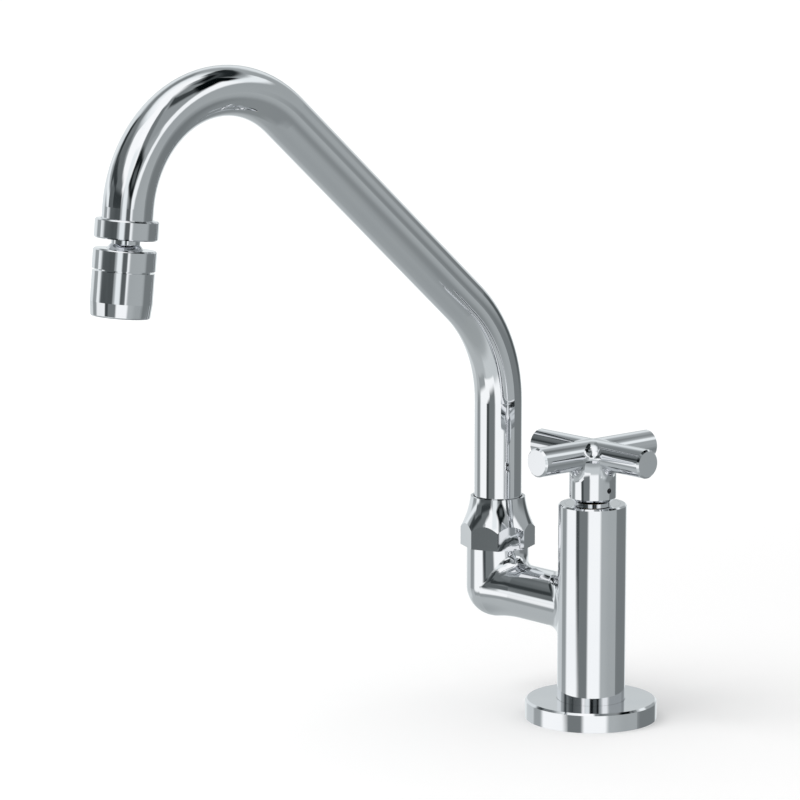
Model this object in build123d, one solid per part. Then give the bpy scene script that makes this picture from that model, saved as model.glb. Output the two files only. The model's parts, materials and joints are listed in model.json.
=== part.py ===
from build123d import *
import os
from math import cos, pi, radians, sin, sqrt

# A deck-mounted swivel kitchen tap, in millimetres.
# The origin is on the column's axis at the deck surface, and +Z is up.
# The side branch runs along -X to the riser, and the spout points along -Y.

os.makedirs("parts", exist_ok=True)

# Clearances
running_gap = 0.05
thread_gap = 0.05
drop_in_gap = 0.1
face_gap = 0.05
passing_gap = 0.3
bolt_hole_gap = 0.4

# Overrun of a cutter or a joined stub past the face that it crosses
overrun = 1.0

# Foot flange and its gasket
flange_r = 30.0
flange_height = 8.8
flange_web = 3.0
flange_edge = 0.9
gasket_inset = 3.1
gasket_width = 3.8
gasket_height = 1.7

# Column
column_r = 15.5
column_top = 99.5
column_edge = 0.7

# Side branch, elbow and riser
branch_r = 12.5
branch_z = 51.0
riser_offset = 63.0
riser_r = 14.4
riser_rise = 19.1
branch_flare_r = 14.2
branch_flare_near = 3.0
branch_flare_far = 20.0
branch_fillet = 9.0
elbow_fillet = 6.0
waterway_r = 8.0

# Inlet shank, a G1/2 pipe thread modelled at its outer diameter
shank_thread_r = 10.48
shank_bore_r = 7.2
shank_engagement = 11.0
shank_edge = 0.8
shank_below_nut = 2.4
hose_thread_length = 16.0
relief_length = 2.0
relief_depth = 0.9
shank_washer_height = 1.4
inlet_passage_r = 6.5

# Clamping set under the deck
deck_thickness = 20.0
deck_washer_r = 19.0
deck_washer_height = 3.0
clamp_washer_r = 18.5
clamp_washer_height = 1.5
back_nut_flats = 30.0
back_nut_height = 7.0
back_nut_slope = 0.5

# Seals
groove_fullness = 1.3
cartridge_seal_section = 1.6
spindle_seal_section = 1.5
ferrule_seal_section = 1.8
stem_seal_section = 1.3

# Valve seat and discs inside the column
seat_floor_height = 11.5
chamber_r = 11.5
lip_seal_height = 2.5
lip_seal_margin = 0.2
disc_side_gap = 0.2
disc_height = 3.4
disc_play = 0.3
port_outer_r = 7.6
port_inner_r = 2.6
port_half_angle = 34.0
drive_slot_width = 4.0
drive_slot_depth = 1.6

# Cartridge and spindle
cartridge_wall = 1.7
window_rib = 5.0
window_height = 18.0
drive_foot_height = 3.4
tongue_inset = 1.0
spindle_stem_r = 4.2
spindle_r = 5.0
shoulder_r = 7.5
shoulder_height = 3.0
shoulder_above_window = 2.0
friction_washer_height = 1.0
clip_reach = 2.4
clip_height = 1.0
clip_depth = 1.2

# Bonnet nut
bonnet_thread_step = 1.1
bonnet_thread_height = 7.0
bonnet_skirt_height = 8.5
bonnet_clip_gap = 1.1
bonnet_neck_r = 7.9
bonnet_neck_height = 0.9
spanner_hole_r = 1.0
spanner_hole_depth = 2.0
spindle_seal_below_top = 3.2

# Cross handle
hub_r = 10.65
hub_edge_r = 2.2
hub_edge_height = 1.9
hub_shoulder = 5.5
hub_top_below_axis = 4.5
arm_r = 6.6
arm_reach = 35.1
arm_above_column = 23.0
arm_edge = 0.8
arm_fillet = 6.0
hub_flare_r = 12.4
hub_flare_below_axis = 2.3
spline_teeth = 20
spline_r = 4.0
spline_depth = 0.5
spline_above_hub = 3.8
spline_length = 11.5
screw_r = 1.2
screw_recess = 1.35
screw_above_hub = 6.0
screw_key_flats = 1.3
screw_key_depth = 1.6

# Gland nut
nut_sides = 8
nut_flats = 32.0
nut_flat_height = 8.4
nut_height = 23.2
nut_top_wall = 1.3
nut_turn = 2.0
nut_flare_sag = 0.8

# Spout swivel inside the gland nut and the riser
riser_thread_step = 1.0
riser_thread_length = 9.9
socket_r = 10.0
thrust_washer_height = 0.9
ferrule_flange_step = 0.5
ferrule_flange_height = 2.5
ferrule_spigot = 18.0
ferrule_sleeve = 12.0
ferrule_bore_r = 7.5
ferrule_floor_gap = 2.0
ferrule_seal_first = 4.0
ferrule_seal_pitch = 7.0
ferrule_seals = 2
friction_ring_height = 1.1

# Spout tube
tube_r = 11.0
tube_wall = 1.0
tube_straight = 55.0
lower_bend_r = 64.0
slant_angle = 48.9
slant_length = 141.5
outlet_bend_r = 51.7
outlet_splay = 6.1

# Outlet collar, along the outlet axis from the end of the bend
collar_r = 13.7
collar_start = 5.0
collar_height = 8.3
collar_web = 4.0
collar_edge = 0.6
collar_lead_in = 0.5

# Ball stem
stem_r = 6.2
stem_wall = 0.9
stem_washer_reach = 2.4
stem_washer_height = 0.6
stem_clip_reach = 2.0
stem_clip_height = 1.0
stem_clip_depth = 0.9
stem_head_height = 1.0
ball_r = 9.0
ball_below_collar = 8.7
ball_foot = 6.3

# Socket housing and the seat under the ball
socket_outer_r = 13.65
socket_lip = 4.4
socket_height = 8.7
socket_edge = 0.7
mouth_relief = 0.3
spigot_wall = 1.6
spigot_length = 6.8
seat_over_ball = 0.95
seat_below_ball = 2.6
seat_height = 4.0
seat_bore_r = 6.5
aerator_gasket_height = 1.4

# Aerator sleeve
groove_width = 0.9
aerator_r = 13.4
aerator_straight = 13.1
aerator_height = 19.4
aerator_taper = 0.65
aerator_wall = 2.2
aerator_lip_width = 0.7
aerator_lip_height = 1.6
aerator_end_edge = 0.8

# Flow insert, screen and outlet grid
insert_wall = 1.2
insert_top = 1.5
insert_hole_r = 0.9
insert_hole_ring_r = 6.0
insert_holes = 12
screen_height = 0.6
screen_pitch = 2.4
screen_bar = 0.7
grid_height = 2.6
grid_pitch = 3.0
grid_bar = 0.6

# Heights under the deck
deck_washer_top = -deck_thickness
deck_washer_bottom = deck_washer_top - deck_washer_height
clamp_washer_top = deck_washer_bottom - face_gap
clamp_washer_bottom = clamp_washer_top - clamp_washer_height
back_nut_top = clamp_washer_bottom - face_gap
back_nut_bottom = back_nut_top - back_nut_height
relief_top = back_nut_bottom - shank_below_nut
relief_bottom = relief_top - relief_length
shank_bottom = relief_bottom - hose_thread_length
washer_hole_r = shank_thread_r + bolt_hole_gap

# Heights and radii in the column
column_foot = flange_web
shank_top = column_foot + shank_engagement
shank_washer_bottom = shank_top + face_gap
inlet_floor = shank_washer_bottom + shank_washer_height + face_gap
seat_z = inlet_floor + seat_floor_height
lip_seal_bottom = seat_z + face_gap
fixed_disc_bottom = lip_seal_bottom + lip_seal_height + face_gap
moving_disc_bottom = fixed_disc_bottom + disc_height + face_gap
moving_disc_top = moving_disc_bottom + disc_height
drive_foot_bottom = moving_disc_top + face_gap
drive_foot_top = drive_foot_bottom + drive_foot_height
shoulder_bottom = branch_z + window_height / 2 + shoulder_above_window
shoulder_top = shoulder_bottom + shoulder_height
friction_washer_bottom = shoulder_top + face_gap
cartridge_web = friction_washer_bottom + friction_washer_height + face_gap
bonnet_shelf = column_top - bonnet_thread_height
cartridge_top = bonnet_shelf - bonnet_skirt_height
cartridge_seal_z = (cartridge_web + cartridge_top) / 2
clip_bottom = cartridge_top + passing_gap
spindle_seal_z = column_top - spindle_seal_below_top
bonnet_top = column_top + bonnet_neck_height
cartridge_r = chamber_r - drop_in_gap
cartridge_bore_r = cartridge_r - cartridge_wall
disc_r = cartridge_bore_r - disc_side_gap
moving_disc_r = disc_r - disc_play
bonnet_thread_r = chamber_r + bonnet_thread_step
clip_r = spindle_r + clip_reach
bonnet_skirt_bore_r = clip_r + bonnet_clip_gap
spindle_groove_r = spindle_r - spindle_seal_section

# Heights in the cross handle
hub_bottom = bonnet_top + passing_gap
arm_z = column_top + arm_above_column
hub_top = arm_z - hub_top_below_axis
hub_wall_top = hub_top - hub_shoulder
hub_flare_top = arm_z - hub_flare_below_axis
spline_bottom = hub_bottom + spline_above_hub
spline_top = spline_bottom + spline_length
spindle_shaft_top = spline_bottom - passing_gap
screw_z = hub_bottom + screw_above_hub
screw_tip = spline_r + 2 * face_gap
screw_end = hub_r - screw_recess

# Heights and radii along the riser
riser_x = -riser_offset
riser_shoulder = branch_z + riser_rise
riser_top = riser_shoulder + riser_thread_length
thrust_washer_bottom = riser_top + face_gap
ferrule_flange_bottom = thrust_washer_bottom + thrust_washer_height + face_gap
ferrule_flange_top = ferrule_flange_bottom + ferrule_flange_height
ferrule_bottom = ferrule_flange_bottom - ferrule_spigot
ferrule_sleeve_top = ferrule_flange_top + ferrule_sleeve
socket_floor = ferrule_bottom - ferrule_floor_gap
tube_bottom = ferrule_flange_top + face_gap
friction_ring_bottom = ferrule_flange_top + face_gap
nut_bottom = riser_shoulder + passing_gap
nut_shoulder = nut_bottom + nut_flat_height
nut_shelf = friction_ring_bottom + friction_ring_height + face_gap
nut_top = nut_bottom + nut_height
riser_thread_r = riser_r - riser_thread_step
ferrule_flange_r = riser_thread_r - ferrule_flange_step
ferrule_spigot_r = socket_r - running_gap
ferrule_sleeve_r = tube_r - tube_wall - thread_gap
nut_bore_r = tube_r + bolt_hole_gap
nut_top_r = nut_bore_r + nut_top_wall

# Centre line of the spout, as (reach, height) in its own upright plane
slant = radians(slant_angle)
splay = radians(outlet_splay)
lower_bend_z = tube_bottom + tube_straight
slant_start = (lower_bend_r * (1 - cos(slant)), lower_bend_z + lower_bend_r * sin(slant))
slant_end = (
    slant_start[0] + slant_length * sin(slant),
    slant_start[1] + slant_length * cos(slant),
)
outlet_centre = (
    slant_end[0] + outlet_bend_r * cos(slant),
    slant_end[1] - outlet_bend_r * sin(slant),
)
outlet_start = (
    outlet_centre[0] + outlet_bend_r * cos(splay),
    outlet_centre[1] + outlet_bend_r * sin(splay),
)

# Stations along the outlet axis, from the end of the bend
collar_end = collar_start + collar_height
collar_web_top = collar_end - collar_web
tube_end = collar_web_top - face_gap
stem_washer_start = collar_web_top - face_gap - stem_washer_height
stem_clip_start = stem_washer_start - face_gap - stem_clip_height
stem_start = stem_clip_start - stem_head_height
stem_seal_station = collar_end - collar_web / 2
ball_centre = collar_end + ball_below_collar
socket_start = ball_centre - socket_lip
socket_end = socket_start + socket_height
spigot_end = socket_end + spigot_length
seat_start = ball_centre + seat_below_ball
seat_end = seat_start + seat_height
gasket_start = seat_end + face_gap
insert_start = gasket_start + aerator_gasket_height + face_gap
insert_shelf = spigot_end + face_gap
screen_start = insert_start + insert_top + face_gap
aerator_start = socket_end + groove_width
aerator_end = aerator_start + aerator_height
aerator_lip_start = aerator_end - aerator_lip_height
grid_start = aerator_lip_start - face_gap - grid_height
insert_end = grid_start - face_gap

# Radii round the outlet axis
stem_groove_r = stem_r - stem_seal_section
ball_bore_r = stem_groove_r - stem_wall
bowl_r = ball_r + running_gap
seat_r = ball_r + seat_over_ball
seat_pocket_r = seat_r + running_gap
spigot_r = seat_pocket_r + spigot_wall
aerator_bore_r = aerator_r - aerator_wall
aerator_lip_r = aerator_bore_r - aerator_lip_width
insert_r = aerator_bore_r - drop_in_gap
insert_bore_r = seat_r - insert_wall
screen_r = insert_bore_r - drop_in_gap


def rod(radius, bottom, top):
    """Upright cylinder between two heights."""
    return Pos(0, 0, (bottom + top) / 2) * Cylinder(radius, top - bottom)


def ring(outer, inner, bottom, top):
    """Upright tube between two heights."""
    return rod(outer, bottom, top) - rod(inner, bottom - overrun, top + overrun)


def cross_rod(radius, start, end, height):
    """Level cylinder along X between two distances from the column's axis."""
    return Pos((start + end) / 2, 0, height) * Rot(0, 90, 0) * Cylinder(radius, end - start)


def turned(points):
    """Solid of revolution about Z from (radius, height) corners."""
    outline = Polyline([(x, 0, z) for x, z in points], close=True)
    return revolve(make_face(outline), Axis.Z)


def corner_radius(flats, sides):
    """Radius to the corners of a regular polygon, from its size across flats."""
    return flats / 2 / cos(pi / sides)


def polygon_bar(flats, bottom, top, sides, turn=0.0):
    """Upright bar of regular section with the given size across flats."""
    section = RegularPolygon(corner_radius(flats, sides), sides)
    return extrude(Plane.XY.offset(bottom) * Rot(0, 0, turn) * section, top - bottom)


def seal_ring(inner, outer, middle):
    """Round-section ring between two radii."""
    return Pos(0, 0, middle) * Torus((inner + outer) / 2, (outer - inner) / 2)


def seal_groove(outer, floor, middle, section):
    """Cutter for the groove of a round-section ring."""
    half = section * groove_fullness / 2
    return ring(outer + overrun, floor, middle - half, middle + half)


def split_clip(outer, inner, bottom, height):
    """Flat open ring that snaps into a groove."""
    mouth = Box(2 * outer, inner, 4 * height)
    return ring(outer, inner, bottom, bottom + height) - Pos(outer + inner / 2, 0, bottom) * mouth


def sector_port(bottom, top, direction):
    """Cutter for one port between two radii, centred on a direction in degrees."""
    half = radians(port_half_angle)
    mid = radians(direction)
    outer = [(port_outer_r * cos(mid + a), port_outer_r * sin(mid + a)) for a in (-half, 0, half)]
    inner = [(port_inner_r * cos(mid + a), port_inner_r * sin(mid + a)) for a in (half, 0, -half)]
    outline = (
        ThreePointArc(*outer)
        + Line(outer[2], inner[0])
        + ThreePointArc(*inner)
        + Line(inner[2], outer[0])
    )
    height = top - bottom + 2 * overrun
    return extrude(Plane.XY.offset(bottom - overrun) * make_face(outline), height)


def splined_bar(radius, bottom, top):
    """Bar with fine pointed splines."""
    points = []
    for step in range(2 * spline_teeth):
        reach = radius - (step % 2) * spline_depth
        angle = pi * step / spline_teeth
        points.append((reach * cos(angle), reach * sin(angle)))
    section = make_face(Polyline(points, close=True))
    return extrude(Plane.XY.offset(bottom) * section, top - bottom)


def pierced_disc(radius, bottom, height, pitch, bar, rim):
    """Disc with a square field of holes inside a plain rim."""
    disc = rod(radius, bottom, bottom + height)
    steps = int((radius - rim) / pitch)
    holes = []
    for column in range(-steps, steps + 1):
        for row in range(-steps, steps + 1):
            far_x = (abs(column) + 0.5) * pitch
            far_y = (abs(row) + 0.5) * pitch
            if sqrt(far_x**2 + far_y**2) < radius - rim:
                place = Pos(column * pitch, row * pitch, bottom + height / 2)
                holes.append(place * Box(pitch - bar, pitch - bar, height + 2 * overrun))
    return disc - holes


def spout_point(station):
    """Point of the spout's plane, placed in the tap's frame."""
    return Vector(riser_x, -station[0], station[1])


def on_bend(centre, radius, angle):
    """Point of a bend, by its angle above the outward direction."""
    return (centre[0] + radius * cos(angle), centre[1] + radius * sin(angle))


outlet_axis = Vector(0, -sin(splay), -cos(splay))
outlet_plane = Plane(origin=spout_point(outlet_start), x_dir=(1, 0, 0), z_dir=outlet_axis)
on_riser = Pos(riser_x, 0, 0)
on_outlet = outlet_plane.location


# Foot, column and supply


def base_flange():
    body = rod(flange_r, 0, flange_height)
    body = chamfer(body.edges().sort_by(Axis.Z)[-1], flange_edge)
    body -= rod(column_r + drop_in_gap, flange_web, flange_height + overrun)
    body -= rod(washer_hole_r, -overrun, flange_web + overrun)
    groove_outer = flange_r - gasket_inset + drop_in_gap
    groove_inner = flange_r - gasket_inset - gasket_width - drop_in_gap
    return body - ring(groove_outer, groove_inner, -overrun, gasket_height + face_gap)


def flange_gasket():
    outer = flange_r - gasket_inset
    return ring(outer, outer - gasket_width, 0, gasket_height)


def flared_branch():
    near_x = riser_x + branch_flare_near
    far_x = riser_x + branch_flare_far
    outline = (
        Line((0, 0, 0), (0, 0, branch_r))
        + Line((0, 0, branch_r), (far_x, 0, branch_r))
        + TangentArc((far_x, 0, branch_r), (near_x, 0, branch_flare_r), tangent=(-1, 0, 0))
        + Line((near_x, 0, branch_flare_r), (riser_x, 0, branch_flare_r))
        + Line((riser_x, 0, branch_flare_r), (riser_x, 0, 0))
        + Line((riser_x, 0, 0), (0, 0, 0))
    )
    return Pos(0, 0, branch_z) * revolve(make_face(outline), Axis.X)


def valve_body():
    column = rod(column_r, column_foot, column_top)
    column = chamfer(column.edges().sort_by(Axis.Z)[-1], column_edge)
    riser = on_riser * rod(riser_r, branch_z, riser_shoulder)
    elbow = riser + Pos(riser_x, 0, branch_z) * Sphere(riser_r)
    arm = elbow + flared_branch()
    arm = fillet(arm.edges().filter_by(GeomType.BSPLINE), elbow_fillet)
    body = arm + column
    foot = body.edges().filter_by(GeomType.BSPLINE).sort_by(Axis.X)[-1]
    body = fillet(foot, branch_fillet)
    body += on_riser * rod(riser_thread_r, riser_shoulder - overrun, riser_top)
    body -= rod(shank_thread_r + thread_gap, column_foot - overrun, inlet_floor)
    body -= rod(inlet_passage_r, inlet_floor - overrun, seat_z + overrun)
    body -= rod(chamber_r, seat_z, bonnet_shelf + overrun)
    body -= rod(bonnet_thread_r + thread_gap, bonnet_shelf, column_top + overrun)
    body -= cross_rod(waterway_r, riser_x, 0, branch_z)
    body -= Pos(riser_x, 0, branch_z) * Sphere(waterway_r)
    body -= on_riser * rod(waterway_r, branch_z, socket_floor + overrun)
    body -= on_riser * rod(socket_r, socket_floor, riser_top + overrun)
    return body


def inlet_shank():
    tube = rod(shank_thread_r, shank_bottom, shank_top)
    tube = chamfer(tube.edges().sort_by(Axis.Z)[0], shank_edge)
    tube -= ring(shank_thread_r + overrun, shank_thread_r - relief_depth, relief_bottom, relief_top)
    return tube - rod(shank_bore_r, shank_bottom - overrun, shank_top + overrun)


def shank_washer():
    top = shank_washer_bottom + shank_washer_height
    return ring(shank_thread_r - drop_in_gap, shank_bore_r, shank_washer_bottom, top)


def deck_washer():
    return ring(deck_washer_r, washer_hole_r, deck_washer_bottom, deck_washer_top)


def clamp_washer():
    return ring(clamp_washer_r, washer_hole_r, clamp_washer_bottom, clamp_washer_top)


def back_nut():
    nut = polygon_bar(back_nut_flats, back_nut_bottom, back_nut_top, 6)
    corner_r = corner_radius(back_nut_flats, 6)
    face_r = back_nut_flats / 2
    slope = (corner_r - face_r) * back_nut_slope
    shape = turned([
        (0, back_nut_bottom),
        (face_r, back_nut_bottom),
        (corner_r, back_nut_bottom + slope),
        (corner_r, back_nut_top - slope),
        (face_r, back_nut_top),
        (0, back_nut_top),
    ])
    bore = rod(shank_thread_r + thread_gap, back_nut_bottom - overrun, back_nut_top + overrun)
    return (nut & shape) - bore


# Quarter-turn headwork


def lip_seal():
    inner = port_outer_r + lip_seal_margin
    return ring(cartridge_r, inner, lip_seal_bottom, lip_seal_bottom + lip_seal_height)


def fixed_disc():
    top = fixed_disc_bottom + disc_height
    disc = rod(disc_r, fixed_disc_bottom, top)
    for direction in (0, 180):
        disc -= sector_port(fixed_disc_bottom, top, direction)
    return disc


def moving_disc():
    disc = rod(moving_disc_r, moving_disc_bottom, moving_disc_top)
    for direction in (90, 270):
        disc -= sector_port(moving_disc_bottom, moving_disc_top, direction)
    slot = Box(4 * moving_disc_r, drive_slot_width + 2 * drop_in_gap, 2 * drive_slot_depth)
    return disc - Pos(0, 0, moving_disc_top) * slot


def cartridge_body():
    body = ring(cartridge_r, cartridge_bore_r, fixed_disc_bottom, cartridge_web)
    body += ring(cartridge_r, spindle_r + running_gap, cartridge_web, cartridge_top)
    across = 4 * chamber_r
    middle = Pos(0, 0, branch_z)
    ribs = middle * Rot(0, 0, 45) * (
        Box(across, window_rib, window_height) + Box(window_rib, across, window_height)
    )
    body -= middle * Box(across, across, window_height) - ribs
    floor = cartridge_r - cartridge_seal_section
    return body - seal_groove(cartridge_r, floor, cartridge_seal_z, cartridge_seal_section)


def cartridge_oring():
    inner = cartridge_r - cartridge_seal_section + face_gap
    return seal_ring(inner, cartridge_r, cartridge_seal_z)


def spindle():
    foot = rod(moving_disc_r, drive_foot_bottom, drive_foot_top)
    for direction in (90, 270):
        foot -= sector_port(drive_foot_bottom, drive_foot_top, direction)
    tongue_depth = drive_slot_depth + face_gap - drop_in_gap
    tongue = Box(2 * (moving_disc_r - tongue_inset), drive_slot_width, tongue_depth)
    body = foot + Pos(0, 0, drive_foot_bottom - tongue_depth / 2) * tongue
    body += rod(spindle_stem_r, drive_foot_top, shoulder_bottom)
    body += rod(shoulder_r, shoulder_bottom, shoulder_top)
    body += rod(spindle_r, shoulder_top, spindle_shaft_top)
    body += splined_bar(spline_r, spindle_shaft_top, spline_top)
    clip_groove_top = clip_bottom + clip_height + face_gap
    body -= ring(spindle_r + overrun, spindle_r - clip_depth, clip_bottom, clip_groove_top)
    return body - seal_groove(spindle_r, spindle_groove_r, spindle_seal_z, spindle_seal_section)


def friction_washer():
    top = friction_washer_bottom + friction_washer_height
    return ring(shoulder_r, spindle_r + drop_in_gap, friction_washer_bottom, top)


def spindle_clip():
    inner = spindle_r - clip_depth + face_gap
    return split_clip(clip_r, inner, clip_bottom + face_gap / 2, clip_height)


def spindle_oring():
    return seal_ring(spindle_groove_r + face_gap, spindle_r - face_gap / 2, spindle_seal_z)


def bonnet_nut():
    body = rod(cartridge_r, cartridge_top + face_gap, bonnet_shelf + overrun)
    body += rod(bonnet_thread_r, bonnet_shelf + face_gap, column_top)
    body += rod(bonnet_neck_r, column_top - overrun, bonnet_top)
    body -= rod(bonnet_skirt_bore_r, cartridge_top, bonnet_shelf)
    body -= rod(spindle_r + running_gap, bonnet_shelf - overrun, bonnet_top + overrun)
    hole_place_r = (bonnet_neck_r + hub_r) / 2
    for side in (-1, 1):
        hole = rod(spanner_hole_r, column_top - spanner_hole_depth, column_top + overrun)
        body -= Pos(0, side * hole_place_r, 0) * hole
    return body


# Handle


def hub_flare():
    outline = (
        Line((0, 0, hub_wall_top), (hub_r, 0, hub_wall_top))
        + TangentArc((hub_r, 0, hub_wall_top), (hub_flare_r, 0, hub_flare_top), tangent=(0, 0, 1))
        + Line((hub_flare_r, 0, hub_flare_top), (0, 0, hub_flare_top))
        + Line((0, 0, hub_flare_top), (0, 0, hub_wall_top))
    )
    return revolve(make_face(outline), Axis.Z)


def cross_handle():
    shoulder_bend = hub_shoulder * sin(pi / 4)
    shoulder_middle = (hub_r - hub_shoulder + shoulder_bend, 0, hub_wall_top + shoulder_bend)
    outline = (
        Line((0, 0, hub_bottom), (hub_r - hub_edge_r, 0, hub_bottom))
        + Line((hub_r - hub_edge_r, 0, hub_bottom), (hub_r, 0, hub_bottom + hub_edge_height))
        + Line((hub_r, 0, hub_bottom + hub_edge_height), (hub_r, 0, hub_wall_top))
        + ThreePointArc((hub_r, 0, hub_wall_top), shoulder_middle, (hub_r - hub_shoulder, 0, hub_top))
        + Line((hub_r - hub_shoulder, 0, hub_top), (0, 0, hub_top))
        + Line((0, 0, hub_top), (0, 0, hub_bottom))
    )
    hub = revolve(make_face(outline), Axis.Z)
    bar = Cylinder(arm_r, 2 * arm_reach)
    bar = chamfer(bar.edges().filter_by(GeomType.CIRCLE), arm_edge)
    arms = Pos(0, 0, arm_z) * (Rot(0, 90, 0) * bar + Rot(90, 0, 0) * bar)
    body = hub + arms
    seams = [
        edge
        for edge in body.edges()
        if edge.geom_type not in (GeomType.CIRCLE, GeomType.LINE) and edge.center().Z > hub_wall_top
    ]
    body = fillet(seams, arm_fillet) + hub_flare()
    body -= rod(spindle_r + passing_gap, hub_bottom - overrun, spline_bottom)
    body -= splined_bar(spline_r + thread_gap, spline_bottom - overrun, spline_top + passing_gap)
    return body - cross_rod(screw_r + thread_gap, 0, hub_r + overrun, screw_z)


def handle_screw():
    screw = cross_rod(screw_r, screw_tip, screw_end, screw_z)
    key = polygon_bar(screw_key_flats, -screw_key_depth, overrun, 6)
    return screw - Pos(screw_end, 0, screw_z) * Rot(0, 90, 0) * key


# Gland nut and swivel of the spout


def spout_nut():
    corner_r = corner_radius(nut_flats, nut_sides)
    middle_r = (corner_r + nut_top_r) / 2 - nut_flare_sag
    middle_z = (nut_shoulder + nut_top) / 2
    rim_r = corner_r + overrun
    outline = (
        Line((0, 0, nut_bottom), (rim_r, 0, nut_bottom))
        + Line((rim_r, 0, nut_bottom), (rim_r, 0, nut_shoulder))
        + Line((rim_r, 0, nut_shoulder), (corner_r, 0, nut_shoulder))
        + ThreePointArc((corner_r, 0, nut_shoulder), (middle_r, 0, middle_z), (nut_top_r, 0, nut_top))
        + Line((nut_top_r, 0, nut_top), (0, 0, nut_top))
        + Line((0, 0, nut_top), (0, 0, nut_bottom))
    )
    nut = polygon_bar(nut_flats, nut_bottom, nut_top, nut_sides, nut_turn)
    nut &= revolve(make_face(outline), Axis.Z)
    nut -= rod(riser_thread_r + thread_gap, nut_bottom - overrun, nut_shelf)
    nut -= rod(nut_bore_r, nut_shelf - overrun, nut_top + overrun)
    return on_riser * nut


def thrust_washer():
    top = thrust_washer_bottom + thrust_washer_height
    return on_riser * ring(ferrule_flange_r, socket_r + drop_in_gap, thrust_washer_bottom, top)


def friction_ring():
    outer = riser_thread_r + thread_gap - drop_in_gap
    top = friction_ring_bottom + friction_ring_height
    return on_riser * ring(outer, tube_r + running_gap, friction_ring_bottom, top)


ferrule_seal_floor = ferrule_spigot_r - ferrule_seal_section
ferrule_seal_heights = [
    ferrule_bottom + ferrule_seal_first + ferrule_seal_pitch * step for step in range(ferrule_seals)
]


def spout_ferrule():
    body = rod(ferrule_spigot_r, ferrule_bottom, ferrule_flange_bottom)
    body += rod(ferrule_flange_r, ferrule_flange_bottom, ferrule_flange_top)
    body += rod(ferrule_sleeve_r, ferrule_flange_top, ferrule_sleeve_top)
    body -= rod(ferrule_bore_r, ferrule_bottom - overrun, ferrule_sleeve_top + overrun)
    for height in ferrule_seal_heights:
        body -= seal_groove(ferrule_spigot_r, ferrule_seal_floor, height, ferrule_seal_section)
    return on_riser * body


def ferrule_orings():
    inner = ferrule_seal_floor + face_gap
    outer = ferrule_spigot_r - face_gap / 2
    return Compound(children=[
        on_riser * seal_ring(inner, outer, height) for height in ferrule_seal_heights
    ])


def spout_tube():
    lower_centre = (lower_bend_r, lower_bend_z)
    lower_middle = on_bend(lower_centre, lower_bend_r, pi - slant / 2)
    top_middle = on_bend(outlet_centre, outlet_bend_r, (pi - slant + splay) / 2)
    foot = spout_point((0, tube_bottom))
    bend_foot = spout_point((0, lower_bend_z))
    tip = spout_point(outlet_start) + outlet_axis * tube_end
    path = (
        Line(foot, bend_foot)
        + ThreePointArc(bend_foot, spout_point(lower_middle), spout_point(slant_start))
        + Line(spout_point(slant_start), spout_point(slant_end))
        + ThreePointArc(spout_point(slant_end), spout_point(top_middle), spout_point(outlet_start))
        + Line(spout_point(outlet_start), tip)
    )
    section = Plane(origin=foot, z_dir=(0, 0, 1)) * (Circle(tube_r) - Circle(tube_r - tube_wall))
    return sweep(section, path=path)


# Outlet collar and ball joint


def outlet_collar():
    body = rod(collar_r, collar_start, collar_end)
    body = chamfer(body.edges().filter_by(GeomType.CIRCLE), collar_edge)
    tube_socket_r = tube_r + thread_gap
    body -= rod(tube_socket_r, collar_start - overrun, collar_web_top)
    body -= turned([
        (0, collar_start - overrun),
        (tube_socket_r + collar_lead_in + overrun, collar_start - overrun),
        (tube_socket_r, collar_start + collar_lead_in),
        (0, collar_start + collar_lead_in),
    ])
    body -= rod(stem_r + running_gap, collar_web_top - overrun, collar_end + overrun)
    return on_outlet * body


def stem_washer():
    end = stem_washer_start + stem_washer_height
    return on_outlet * ring(stem_r + stem_washer_reach, stem_r + passing_gap, stem_washer_start, end)


def ball_stem():
    body = rod(stem_r, stem_start, ball_centre)
    ball = Pos(0, 0, ball_centre) * Sphere(ball_r)
    body += ball - rod(ball_r + overrun, ball_centre + ball_foot, ball_centre + ball_r + overrun)
    body -= rod(ball_bore_r, stem_start - overrun, ball_centre + ball_r + overrun)
    groove_end = stem_clip_start + stem_clip_height + face_gap
    body -= ring(stem_r + overrun, stem_r - stem_clip_depth, stem_clip_start, groove_end)
    body -= seal_groove(stem_r, stem_groove_r, stem_seal_station, stem_seal_section)
    return on_outlet * body


def stem_clip():
    inner = stem_r - stem_clip_depth + face_gap
    start = stem_clip_start + face_gap / 2
    return on_outlet * split_clip(stem_r + stem_clip_reach, inner, start, stem_clip_height)


def stem_oring():
    return on_outlet * seal_ring(stem_groove_r + face_gap, stem_r - face_gap / 2, stem_seal_station)


# Aerator


def socket_housing():
    body = rod(socket_outer_r, socket_start, socket_end)
    body = chamfer(body.edges().sort_by(Axis.Z)[0], socket_edge)
    body += rod(spigot_r, socket_end - overrun, spigot_end)
    body -= Pos(0, 0, ball_centre) * Sphere(bowl_r)
    body -= rod(bowl_r, ball_centre, seat_start + overrun)
    mouth_r = sqrt(bowl_r**2 - socket_lip**2)
    body -= turned([
        (0, socket_start - overrun),
        (mouth_r + mouth_relief + overrun, socket_start - overrun),
        (mouth_r, socket_start + mouth_relief),
        (0, socket_start + mouth_relief),
    ])
    body -= rod(seat_pocket_r, seat_start - face_gap, spigot_end + overrun)
    return on_outlet * body


def ball_seat():
    body = ring(seat_r, seat_bore_r, seat_start, seat_end)
    return on_outlet * (body - Pos(0, 0, ball_centre) * Sphere(bowl_r))


def aerator_gasket():
    end = gasket_start + aerator_gasket_height
    return on_outlet * ring(seat_r, seat_bore_r, gasket_start, end)


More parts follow.
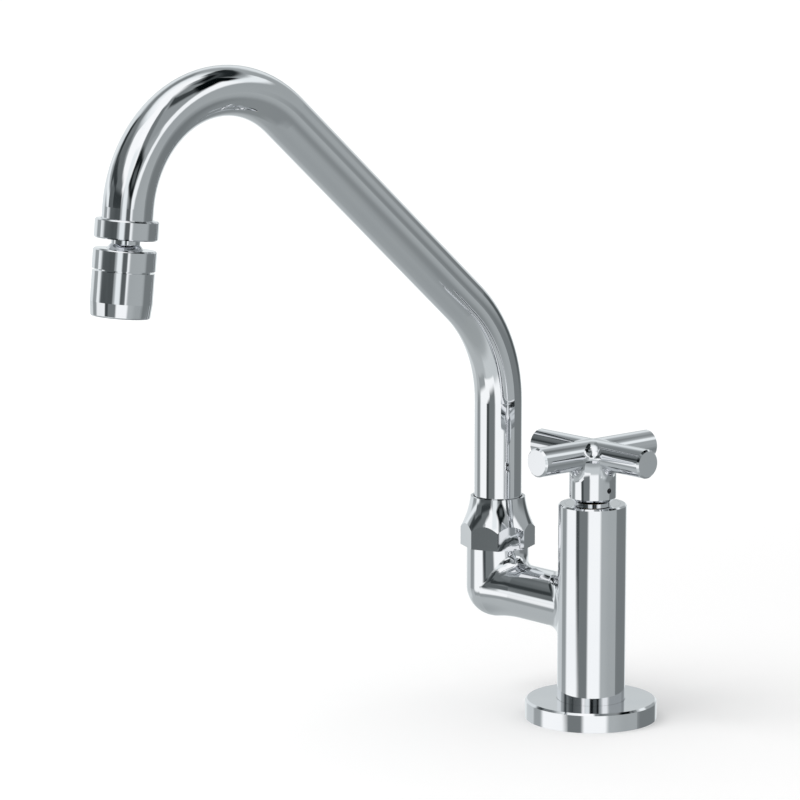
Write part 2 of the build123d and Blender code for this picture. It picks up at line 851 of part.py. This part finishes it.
def aerator_housing():
    body = turned([
        (0, aerator_start),
        (aerator_r, aerator_start),
        (aerator_r, aerator_start + aerator_straight),
        (aerator_r - aerator_taper, aerator_end),
        (0, aerator_end),
    ])
    body = fillet(body.edges().filter_by(GeomType.CIRCLE).sort_by(Axis.Z)[-1], aerator_end_edge)
    body -= rod(spigot_r + thread_gap, aerator_start - overrun, spigot_end + face_gap)
    body -= rod(aerator_bore_r, spigot_end, aerator_lip_start)
    body -= rod(aerator_lip_r, aerator_start, aerator_end + overrun)
    return on_outlet * body


def flow_insert():
    body = rod(seat_r, insert_start, insert_shelf + overrun)
    body += rod(insert_r, insert_shelf, insert_end)
    body -= rod(insert_bore_r, insert_start + insert_top, insert_end + overrun)
    for step in range(insert_holes):
        angle = 2 * pi * step / insert_holes
        place = Pos(insert_hole_ring_r * cos(angle), insert_hole_ring_r * sin(angle), 0)
        top = insert_start + insert_top + overrun
        body -= place * rod(insert_hole_r, insert_start - overrun, top)
    return on_outlet * body


def mesh_screen():
    disc = pierced_disc(screen_r, screen_start, screen_height, screen_pitch, screen_bar, screen_bar)
    return on_outlet * disc


def outlet_grid():
    disc = pierced_disc(insert_r, grid_start, grid_height, grid_pitch, grid_bar, insert_wall)
    return on_outlet * disc


pieces = [
    base_flange,
    flange_gasket,
    valve_body,
    inlet_shank,
    shank_washer,
    deck_washer,
    clamp_washer,
    back_nut,
    lip_seal,
    fixed_disc,
    moving_disc,
    cartridge_body,
    cartridge_oring,
    spindle,
    friction_washer,
    spindle_clip,
    spindle_oring,
    bonnet_nut,
    cross_handle,
    handle_screw,
    spout_nut,
    thrust_washer,
    friction_ring,
    spout_ferrule,
    ferrule_orings,
    spout_tube,
    outlet_collar,
    stem_washer,
    ball_stem,
    stem_clip,
    stem_oring,
    socket_housing,
    ball_seat,
    aerator_gasket,
    aerator_housing,
    flow_insert,
    mesh_screen,
    outlet_grid,
]

for piece in pieces:
    export_step(piece(), f"parts/{piece.__name__}.step")
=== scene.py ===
import bpy
import bmesh
import json
import math
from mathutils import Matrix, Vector

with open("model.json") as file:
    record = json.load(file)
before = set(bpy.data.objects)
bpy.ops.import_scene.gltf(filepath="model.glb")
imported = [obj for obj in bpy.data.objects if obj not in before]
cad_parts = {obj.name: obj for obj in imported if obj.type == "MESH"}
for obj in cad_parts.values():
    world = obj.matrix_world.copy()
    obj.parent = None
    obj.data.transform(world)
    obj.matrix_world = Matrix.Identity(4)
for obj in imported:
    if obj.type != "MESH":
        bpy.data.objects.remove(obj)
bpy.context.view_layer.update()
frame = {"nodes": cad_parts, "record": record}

# The camera's place in metres. Its sight line is turned about Z from the +Y direction and
# tipped downwards. The lens and sensor are in millimetres.
camera_place = (1.24897, -1.2190, 0.4565)
camera_lens = 176.75
camera_sensor = 36.0
camera_near = 0.05
camera_far = 60.0
sight_azimuth = math.radians(48.56)
sight_dip = math.radians(10.07)

# The soft lamp stands above and to the left of the picture, in metres, for a gentle shadow.
lamp_place = (-0.55, -1.15, 1.7)
lamp_aim = (-0.05, -0.1, 0.1)
lamp_width = 1.4
lamp_watts = 14.0

white = (1, 1, 1, 1)

# The world's light on all surfaces, apart from what they mirror.
plain_light = (0.80, 0.80, 0.80, 1)

# The floor, in metres from its middle. It turns clear from floor_fade_start to its radius.
# From floor_lift_from to floor_lift_to the camera sees up to floor_lift of light added to it,
# which makes it white away from the object's shadow.
floor_colour = (0.80, 0.80, 0.80, 1)
floor_radius = 9.0
floor_sides = 96
floor_fade_start = 5.5
floor_lift = 0.24
floor_lift_from = 0.2
floor_lift_to = 1.4

# The pipe thread of the inlet shank, in metres. A surface farther out than thread_from
# carries the thread.
thread_pitch = 0.001814
thread_from = 0.0103
thread_depth = 0.0006

# Most of a noise lies between these two values.
noise_low = 0.3
noise_high = 0.7

brass_colour = (0.78, 0.62, 0.34)
brass_shade = (0.66, 0.48, 0.23)
brass_light = (0.83, 0.67, 0.38)
tarnish_size = 0.006

# How far the roughness of a moulded piece goes up and down, and how many times finer its
# skin is than its mottling.
moulded_swing = 0.06
skin_fineness = 6

# How blue the studio's greys are, and how much brighter than its tones the chrome sees it,
# to make up for what the chrome takes away.
studio_cool = 0.02
mirrored_strength = 1.2

# Elevations run over this many degrees from straight down to straight up.
elevation_range = 180

# The studio that the chrome mirrors: tones of the room by elevation, then soft-edged light
# panels and dark flags, each hung in front of those before it. Angles are in degrees. An
# azimuth is counted from the side where the picture is taken, positive to the right. A tone
# is the displayed grey.
room_tones = [
    (-90, 0.60), (-60, 0.62), (-45, 0.69), (-25, 0.70), (0, 0.64), (30, 0.62),
    (52, 0.62), (64, 0.93), (75, 0.98), (90, 0.98),
]
panels = [
    # name, azimuth, elevation, width, height, tilt, edge softness, tone
    ("right floor", 106, -50, 116, 62, 0, 26, 0.53),
    ("right low wall", 119, -13, 62, 34, 0, 14, 0.47),
    ("right low flag", 135, 3, 22, 20, 0, 9, 0.33),
    ("right back light", 172, 5, 38, 62, 0, 14, 0.87),
    ("right back shade", 174, 10, 30, 12, 0, 8, 0.74),
    ("gap in the ceiling", 72, 70, 120, 22, 0, 14, 0.52),
    ("far ceiling shade", 120, 61, 70, 19, -6, 8, 0.28),
    ("far ceiling flag", 113, 65, 36, 7, -3, 5, 0.05),
    ("far low ceiling flag", 131, 52.5, 56, 11, 2, 7, 0.14),
    ("front grey wall", 36, 44, 66, 32, 0, 8, 0.58),
    ("front grey edge", 11, 48, 18, 46, 0, 8, 0.46),
    ("slanted ceiling flag", 52, 58, 46, 16, -22, 7, 0.25),
    ("ceiling flag", 84, 49, 34, 23, -8, 6, 0.03),
    ("far light strip", 104, 34, 46, 11, 6, 6, 0.93),
    ("middle light strip", 68, 27, 44, 15, 22, 6, 0.97),
    ("near light strip", 33, 8, 40, 10, 26, 5, 0.96),
    ("front softbox", -24, 48, 50, 60, 0, 6, 0.99),
    ("slanted front softbox", -38, 40, 60, 30, -48, 8, 0.98),
    ("low front softbox", -13, 14, 18, 50, 0, 8, 0.92),
    ("left light", -156, 5, 62, 62, 0, 14, 0.87),
    ("left back shade", -178, 10, 24, 12, 0, 8, 0.74),
    ("foot of the left light", -140, -16, 32, 14, 0, 10, 0.78),
    ("left light line", -121, 6.5, 50, 7, -6, 4, 0.93),
    ("left light edge", -93, -1, 15, 12, 0, 6, 0.94),
    ("left low grey", -112, -8, 20, 14, 0, 8, 0.56),
    ("left far flag", -146, 49, 58, 14, 0, 9, 0.50),
    ("left flag", -98, 38, 54, 28, -14, 10, 0.47),
    ("left flag core", -111, 26, 42, 15, -34, 8, 0.26),
    ("left flag heart", -116, 31, 16, 9, -32, 6, 0.19),
    ("middle left flag", -68, 23, 66, 26, -30, 9, 0.42),
    ("left flag band", -83, 19, 34, 10, -14, 6, 0.22),
    ("low left flag", -51, 8, 42, 11, -4, 6, 0.22),
    ("foot of the left flag", -55, 0, 50, 9, 0, 8, 0.31),
    ("left flag step", -83, 8, 25, 13, 0, 5, 0.38),
    ("front flag", 10, 17, 26, 26, -38, 6, 0.10),
    ("opening in the front flag", 11, 16, 12, 10, 0, 6, 0.34),
    ("foot of the front flag", 6, 0, 16, 8, 0, 6, 0.36),
    ("white table", -36, -17, 124, 22, 0, 10, 0.97),
    ("floor before the table", -10, -37, 90, 22, 0, 12, 0.78),
    ("front of the white table", -40, -26, 54, 9, 0, 3, 0.97),
    ("table flag", -37, -12, 40, 16, -8, 9, 0.46),
    ("dark end of the table flag", -53, -10, 12, 12, -20, 6, 0.27),
    ("slanted end of the table flag", -58, -17, 28, 8, -10, 3, 0.97),
    ("table shade", -84, -26, 38, 11, -10, 6, 0.60),
]

# Moulded pieces: name, colour, its shade, size of the mottling, roughness, depth of the skin.
moulded_kinds = [
    ("rubber", (0.030, 0.030, 0.030), (0.018, 0.018, 0.019), 0.004, 0.75, 0.00004),
    ("nylon", (0.88, 0.88, 0.85), (0.80, 0.80, 0.77), 0.006, 0.45, 0.00003),
    ("ceramic", (0.92, 0.91, 0.87), (0.87, 0.86, 0.82), 0.004, 0.18, 0.00001),
    ("insert_plastic", (0.82, 0.83, 0.84), (0.75, 0.76, 0.78), 0.005, 0.4, 0.00002),
]


def linear(tone):
    """Linear light of a displayed grey tone between 0 and 1, by the sRGB curve."""
    if tone <= 0.04045:
        return tone / 12.92
    return ((tone + 0.055) / 1.055) ** 2.4


def grey(tone):
    """Colour of a grey tone, a little cool below white."""
    cool = min(studio_cool, (1 - tone) / 4)
    return (linear(tone - cool), linear(tone), linear(tone + cool / 4), 1.0)


def aim(direction):
    """Turn of a camera or lamp that looks along a direction."""
    return direction.to_track_quat("-Z", "Y")


def add(tree, kind, **settings):
    """A new node with its settings."""
    made = tree.nodes.new(kind)
    for name, value in settings.items():
        setattr(made, name, value)
    return made


def join(tree, source, target):
    """Links an output to an input."""
    tree.links.new(source, target)


def socket(sockets, identifier):
    """A socket by its identifier, for nodes that repeat their sockets' names."""
    return next(item for item in sockets if item.identifier == identifier)


def calculate(tree, operation, *values):
    """Result of a Math node, whose values are sockets or numbers."""
    made = add(tree, "ShaderNodeMath", operation=operation)
    for entry, value in zip(made.inputs, values):
        if isinstance(value, (int, float)):
            entry.default_value = value
        else:
            join(tree, value, entry)
    return made.outputs[0]


def mix_shaders(tree, share, first, second):
    """Goes from the first shader to the second as the share goes from 0 to 1."""
    made = add(tree, "ShaderNodeMixShader")
    for entry, source in zip(made.inputs, (share, first, second)):
        join(tree, source, entry)
    return made.outputs[0]


def make_camera():
    """The picture's camera, with no shift and no depth of field."""
    data = bpy.data.cameras.new("camera")
    data.lens = camera_lens
    data.sensor_width = camera_sensor
    data.clip_start = camera_near
    data.clip_end = camera_far
    camera = bpy.data.objects.new("camera", data)
    bpy.context.scene.collection.objects.link(camera)
    sight = Vector((
        -math.sin(sight_azimuth) * math.cos(sight_dip),
        math.cos(sight_azimuth) * math.cos(sight_dip),
        -math.sin(sight_dip),
    ))
    camera.location = camera_place
    camera.rotation_mode = "QUATERNION"
    camera.rotation_quaternion = aim(sight)
    bpy.context.scene.camera = camera


def room_by_height(tree, elevation):
    """Tones of the bare room from straight down to straight up."""
    share = calculate(tree, "MULTIPLY_ADD", elevation, 1 / elevation_range, 0.5)
    ramp = add(tree, "ShaderNodeValToRGB")
    steps = ramp.color_ramp.elements
    while len(steps) < len(room_tones):
        steps.new(0.5)
    for step, (height, tone) in zip(steps, room_tones):
        step.position = height / elevation_range + 0.5
        step.color = grey(tone)
    join(tree, share, ramp.inputs[0])
    return ramp.outputs[0]


def hang_panel(tree, place, behind, panel):
    """One soft-edged panel in front of what is behind it."""
    name, azimuth, elevation, width, height, tilt, softness, tone = panel
    turned = add(tree, "ShaderNodeMapping", vector_type="TEXTURE", label=name)
    turned.inputs["Location"].default_value = (azimuth, elevation, 0)
    turned.inputs["Rotation"].default_value = (0, 0, math.radians(tilt))
    join(tree, place, turned.inputs["Vector"])
    apart = add(tree, "ShaderNodeVectorMath", operation="ABSOLUTE")
    join(tree, turned.outputs[0], apart.inputs[0])
    edge = add(tree, "ShaderNodeMapRange", data_type="FLOAT_VECTOR")
    edge.interpolation_type = "SMOOTHSTEP"
    half = Vector((width, height, 0)) / 2
    fade = Vector((softness, softness, 0)) / 2
    socket(edge.inputs, "From_Min_FLOAT3").default_value = half + fade
    socket(edge.inputs, "From_Max_FLOAT3").default_value = half - fade
    join(tree, apart.outputs[0], edge.inputs["Vector"])
    sides = add(tree, "ShaderNodeSeparateXYZ")
    join(tree, edge.outputs["Vector"], sides.inputs[0])
    cover = calculate(tree, "MULTIPLY", sides.outputs[0], sides.outputs[1])
    mixed = add(tree, "ShaderNodeMix", data_type="RGBA")
    join(tree, cover, socket(mixed.inputs, "Factor_Float"))
    join(tree, behind, socket(mixed.inputs, "A_Color"))
    socket(mixed.inputs, "B_Color").default_value = grey(tone)
    return socket(mixed.outputs, "Result_Color")


def studio(tree):
    """Colour of the studio in each direction of the world."""
    direction = add(tree, "ShaderNodeTexCoord").outputs["Generated"]
    turn = add(tree, "ShaderNodeVectorRotate", rotation_type="Z_AXIS")
    turn.inputs["Angle"].default_value = math.pi / 2 - sight_azimuth
    join(tree, direction, turn.inputs["Vector"])
    parts = add(tree, "ShaderNodeSeparateXYZ")
    join(tree, turn.outputs[0], parts.inputs[0])
    azimuth = calculate(tree, "ARCTAN2", parts.outputs[1], parts.outputs[0])
    azimuth = calculate(tree, "DEGREES", azimuth)
    elevation = calculate(tree, "DEGREES", calculate(tree, "ARCSINE", parts.outputs[2]))
    place = add(tree, "ShaderNodeCombineXYZ")
    join(tree, azimuth, place.inputs[0])
    join(tree, elevation, place.inputs[1])
    colour = room_by_height(tree, elevation)
    for panel in panels:
        colour = hang_panel(tree, place.outputs[0], colour, panel)
    return colour


def make_world():
    """White to the camera and through glass, the studio in mirrors, plain light otherwise."""
    world = bpy.data.worlds.new("studio")
    world.use_nodes = True
    bpy.context.scene.world = world
    tree = world.node_tree
    tree.nodes.clear()
    path = add(tree, "ShaderNodeLightPath")
    seen = calculate(
        tree, "MAXIMUM", path.outputs["Is Camera Ray"], path.outputs["Is Transmission Ray"]
    )
    plain = add(tree, "ShaderNodeBackground")
    plain.inputs["Color"].default_value = plain_light
    mirrored = add(tree, "ShaderNodeBackground")
    mirrored.inputs["Strength"].default_value = mirrored_strength
    join(tree, studio(tree), mirrored.inputs["Color"])
    backdrop = add(tree, "ShaderNodeBackground")
    backdrop.inputs["Color"].default_value = white
    lit = mix_shaders(
        tree, path.outputs["Is Glossy Ray"], plain.outputs[0], mirrored.outputs[0]
    )
    shown = mix_shaders(tree, seen, lit, backdrop.outputs[0])
    output = add(tree, "ShaderNodeOutputWorld")
    join(tree, shown, output.inputs["Surface"])


def make_lamp():
    """One large soft lamp, which mirrors and the camera don't see."""
    data = bpy.data.lights.new("soft lamp", "AREA")
    data.shape = "DISK"
    data.size = lamp_width
    data.energy = lamp_watts
    lamp = bpy.data.objects.new("soft lamp", data)
    bpy.context.scene.collection.objects.link(lamp)
    lamp.location = lamp_place
    lamp.rotation_mode = "QUATERNION"
    lamp.rotation_quaternion = aim(Vector(lamp_aim) - lamp.location)
    lamp.visible_glossy = False
    lamp.visible_camera = False


def rise(tree, value, start, end, top=1.0):
    """Rises smoothly from 0 to the top as the value goes from start to end."""
    made = add(tree, "ShaderNodeMapRange", interpolation_type="SMOOTHSTEP")
    made.inputs["From Min"].default_value = start
    made.inputs["From Max"].default_value = end
    made.inputs["To Max"].default_value = top
    join(tree, value, made.inputs["Value"])
    return made.outputs[0]


def paint_floor(tree):
    """Matte and pale, white to the camera but for the shadow, and clear towards its edge."""
    tree.nodes.clear()
    to_camera = add(tree, "ShaderNodeLightPath").outputs["Is Camera Ray"]
    paint = add(tree, "ShaderNodeMix", data_type="RGBA")
    socket(paint.inputs, "A_Color").default_value = floor_colour
    socket(paint.inputs, "B_Color").default_value = white
    join(tree, to_camera, socket(paint.inputs, "Factor_Float"))
    matte = add(tree, "ShaderNodeBsdfDiffuse")
    join(tree, socket(paint.outputs, "Result_Color"), matte.inputs["Color"])
    reach = add(tree, "ShaderNodeVectorMath", operation="LENGTH")
    join(tree, add(tree, "ShaderNodeTexCoord").outputs["Object"], reach.inputs[0])
    distance = reach.outputs["Value"]
    lift = rise(tree, distance, floor_lift_from, floor_lift_to, floor_lift)
    glow = add(tree, "ShaderNodeEmission")
    join(tree, calculate(tree, "MULTIPLY", lift, to_camera), glow.inputs["Strength"])
    whitened = add(tree, "ShaderNodeAddShader")
    join(tree, matte.outputs[0], whitened.inputs[0])
    join(tree, glow.outputs[0], whitened.inputs[1])
    clear = add(tree, "ShaderNodeBsdfTransparent")
    fade = rise(tree, distance, floor_fade_start, floor_radius)
    output = add(tree, "ShaderNodeOutputMaterial")
    faded = mix_shaders(tree, fade, whitened.outputs[0], clear.outputs[0])
    join(tree, faded, output.inputs["Surface"])


def make_floor():
    """Round pale floor at the height of the deck."""
    mesh = bpy.data.meshes.new("floor")
    disc = bmesh.new()
    bmesh.ops.create_circle(disc, cap_ends=True, segments=floor_sides, radius=floor_radius)
    disc.to_mesh(mesh)
    disc.free()
    floor = bpy.data.objects.new("floor", mesh)
    bpy.context.scene.collection.objects.link(floor)
    material = bpy.data.materials.new("pale floor")
    material.use_nodes = True
    paint_floor(material.node_tree)
    mesh.materials.append(material)
    floor.visible_glossy = False


def new_material(name, colour, metallic, roughness):
    """A Principled material whose plain values sit on its own sockets."""
    material = bpy.data.materials.new(name)
    material.use_nodes = True
    tree = material.node_tree
    shader = tree.nodes["Principled BSDF"]
    shader.inputs["Base Color"].default_value = (*colour, 1)
    shader.inputs["Metallic"].default_value = metallic
    shader.inputs["Roughness"].default_value = roughness
    return material, tree, shader


def noise(tree, size, detail=2.0, stretch=(1, 1, 1)):
    """Noise whose features are about size metres across, in the object's own frame."""
    place = add(tree, "ShaderNodeTexCoord").outputs["Object"]
    scaled = add(tree, "ShaderNodeMapping")
    scaled.inputs["Scale"].default_value = stretch
    join(tree, place, scaled.inputs["Vector"])
    made = add(tree, "ShaderNodeTexNoise")
    made.inputs["Scale"].default_value = 1 / size
    made.inputs["Detail"].default_value = detail
    join(tree, scaled.outputs[0], made.inputs["Vector"])
    return made.outputs["Fac"]


def roughen(tree, shader, value, low, high):
    """Lets the roughness follow a noise between two values."""
    made = add(tree, "ShaderNodeMapRange")
    made.inputs["From Min"].default_value = noise_low
    made.inputs["From Max"].default_value = noise_high
    made.inputs["To Min"].default_value = low
    made.inputs["To Max"].default_value = high
    join(tree, value, made.inputs["Value"])
    join(tree, made.outputs[0], shader.inputs["Roughness"])


def tint(tree, shader, value, dark, light):
    """Lets the colour follow a noise between two close tones."""
    ramp = add(tree, "ShaderNodeValToRGB")
    steps = ramp.color_ramp.elements
    steps[0].position = noise_low
    steps[0].color = (*dark, 1)
    steps[1].position = noise_high
    steps[1].color = (*light, 1)
    join(tree, value, ramp.inputs[0])
    join(tree, ramp.outputs[0], shader.inputs["Base Color"])


def emboss(tree, shader, height, depth):
    """Bumps of a depth in metres where the height goes from 0 to 1."""
    bump = add(tree, "ShaderNodeBump")
    bump.inputs["Distance"].default_value = depth
    join(tree, height, bump.inputs["Height"])
    join(tree, bump.outputs[0], shader.inputs["Normal"])


def make_chrome(name, wave_depth):
    """Mirror chrome: faint haze that comes and goes, and the slight waviness of polishing."""
    material, tree, shader = new_material(
        name, colour=(0.80, 0.81, 0.83), metallic=1.0, roughness=0.035
    )
    haze = noise(tree, size=0.012, detail=3.0)
    roughen(tree, shader, haze, low=0.02, high=0.05)
    cloud = noise(tree, size=0.03)
    tint(tree, shader, cloud, dark=(0.79, 0.80, 0.825), light=(0.82, 0.825, 0.84))
    waves = noise(tree, size=0.02, detail=1.0)
    emboss(tree, shader, waves, wave_depth)
    return material


def make_brass():
    """Turned brass with fine tool rings round Z and a little tarnish."""
    material, tree, shader = new_material(
        "brass", brass_colour, metallic=1.0, roughness=0.3
    )
    tarnish = noise(tree, tarnish_size, detail=4.0)
    tint(tree, shader, tarnish, brass_shade, brass_light)
    roughen(tree, shader, tarnish, low=0.24, high=0.38)
    rings = noise(tree, size=0.0015, detail=1.0, stretch=(0.02, 0.02, 3))
    emboss(tree, shader, rings, depth=0.00004)
    return material


def squared(tree, value):
    """Square of a value."""
    return calculate(tree, "POWER", value, 2)


def thread_height(tree):
    """Ridges of a right-handed thread round Z, from 0 to 1, on the shank's outside only."""
    place = add(tree, "ShaderNodeSeparateXYZ")
    join(tree, add(tree, "ShaderNodeTexCoord").outputs["Object"], place.inputs[0])
    x, y, z = place.outputs
    angle = calculate(tree, "ARCTAN2", y, x)
    turns = calculate(tree, "MULTIPLY", angle, 1 / (2 * math.pi))
    pitches = calculate(tree, "MULTIPLY", z, 1 / thread_pitch)
    wound = calculate(tree, "SUBTRACT", pitches, turns)
    half_ridge = calculate(tree, "PINGPONG", wound, 0.5)
    ridge = calculate(tree, "MULTIPLY", half_ridge, 2)
    radius = calculate(tree, "SQRT", calculate(tree, "ADD", squared(tree, x), squared(tree, y)))
    outside = calculate(tree, "GREATER_THAN", radius, thread_from)
    return calculate(tree, "MULTIPLY", ridge, outside)


def make_threaded_brass():
    """Brass of the inlet shank, with its pipe thread."""
    material, tree, shader = new_material(
        "threaded_brass", brass_colour, metallic=1.0, roughness=0.3
    )
    tint(tree, shader, noise(tree, tarnish_size, detail=4.0), brass_shade, brass_light)
    emboss(tree, shader, thread_height(tree), thread_depth)
    return material


def make_steel(name, shade, colour):
    """Stamped or turned steel with a satin grain along X."""
    material, tree, shader = new_material(name, colour, metallic=1.0, roughness=0.32)
    grain = noise(tree, size=0.0012, detail=3.0, stretch=(0.08, 1, 1))
    tint(tree, shader, grain, shade, colour)
    roughen(tree, shader, grain, low=0.26, high=0.40)
    emboss(tree, shader, grain, depth=0.00003)
    return material


def make_moulded(name, colour, shade, size, roughness, depth):
    """Moulded rubber, nylon, ceramic or plastic: close tones and a fine skin."""
    material, tree, shader = new_material(name, colour, metallic=0.0, roughness=roughness)
    mottle = noise(tree, size, detail=3.0)
    tint(tree, shader, mottle, shade, colour)
    roughen(tree, shader, mottle, roughness - moulded_swing, roughness + moulded_swing)
    emboss(tree, shader, noise(tree, size / skin_fineness), depth)
    return material


def dress(node_name, material):
    """Gives a CAD node one material in all its slots."""
    piece = frame["nodes"][node_name]
    if not piece.material_slots:
        piece.data.materials.append(None)
    for slot in piece.material_slots:
        slot.material = material


make_camera()
bpy.context.scene.view_settings.view_transform = "Standard"
make_world()
make_lamp()
make_floor()

# The record's material slots, then the nodes with a finish of their own, where the handle
# screw's near-black is painted shade.
materials = {
    "chrome": make_chrome("cast_chrome", wave_depth=0.00002),
    "brass": make_brass(),
    "steel": make_steel("steel", shade=(0.56, 0.57, 0.59), colour=(0.67, 0.68, 0.70)),
}
for name, *look in moulded_kinds:
    materials[name] = make_moulded(name, *look)
own_finishes_and_painted_shade = {
    "spout_tube": make_chrome("drawn_chrome", wave_depth=0.00001),
    # The handle screw's steel is painted near-black, as painted shade for the dark hollow of
    # the screw hole.
    "handle_screw": make_steel(
        "steel_painted_hole_shade", shade=(0.035, 0.035, 0.04), colour=(0.06, 0.06, 0.065)
    ),
    "inlet_shank": make_threaded_brass(),
}
for part in frame["record"]["subparts"]:
    node_name = part["node"]
    dress(node_name, own_finishes_and_painted_shade.get(node_name, materials[part["material_slot"]]))
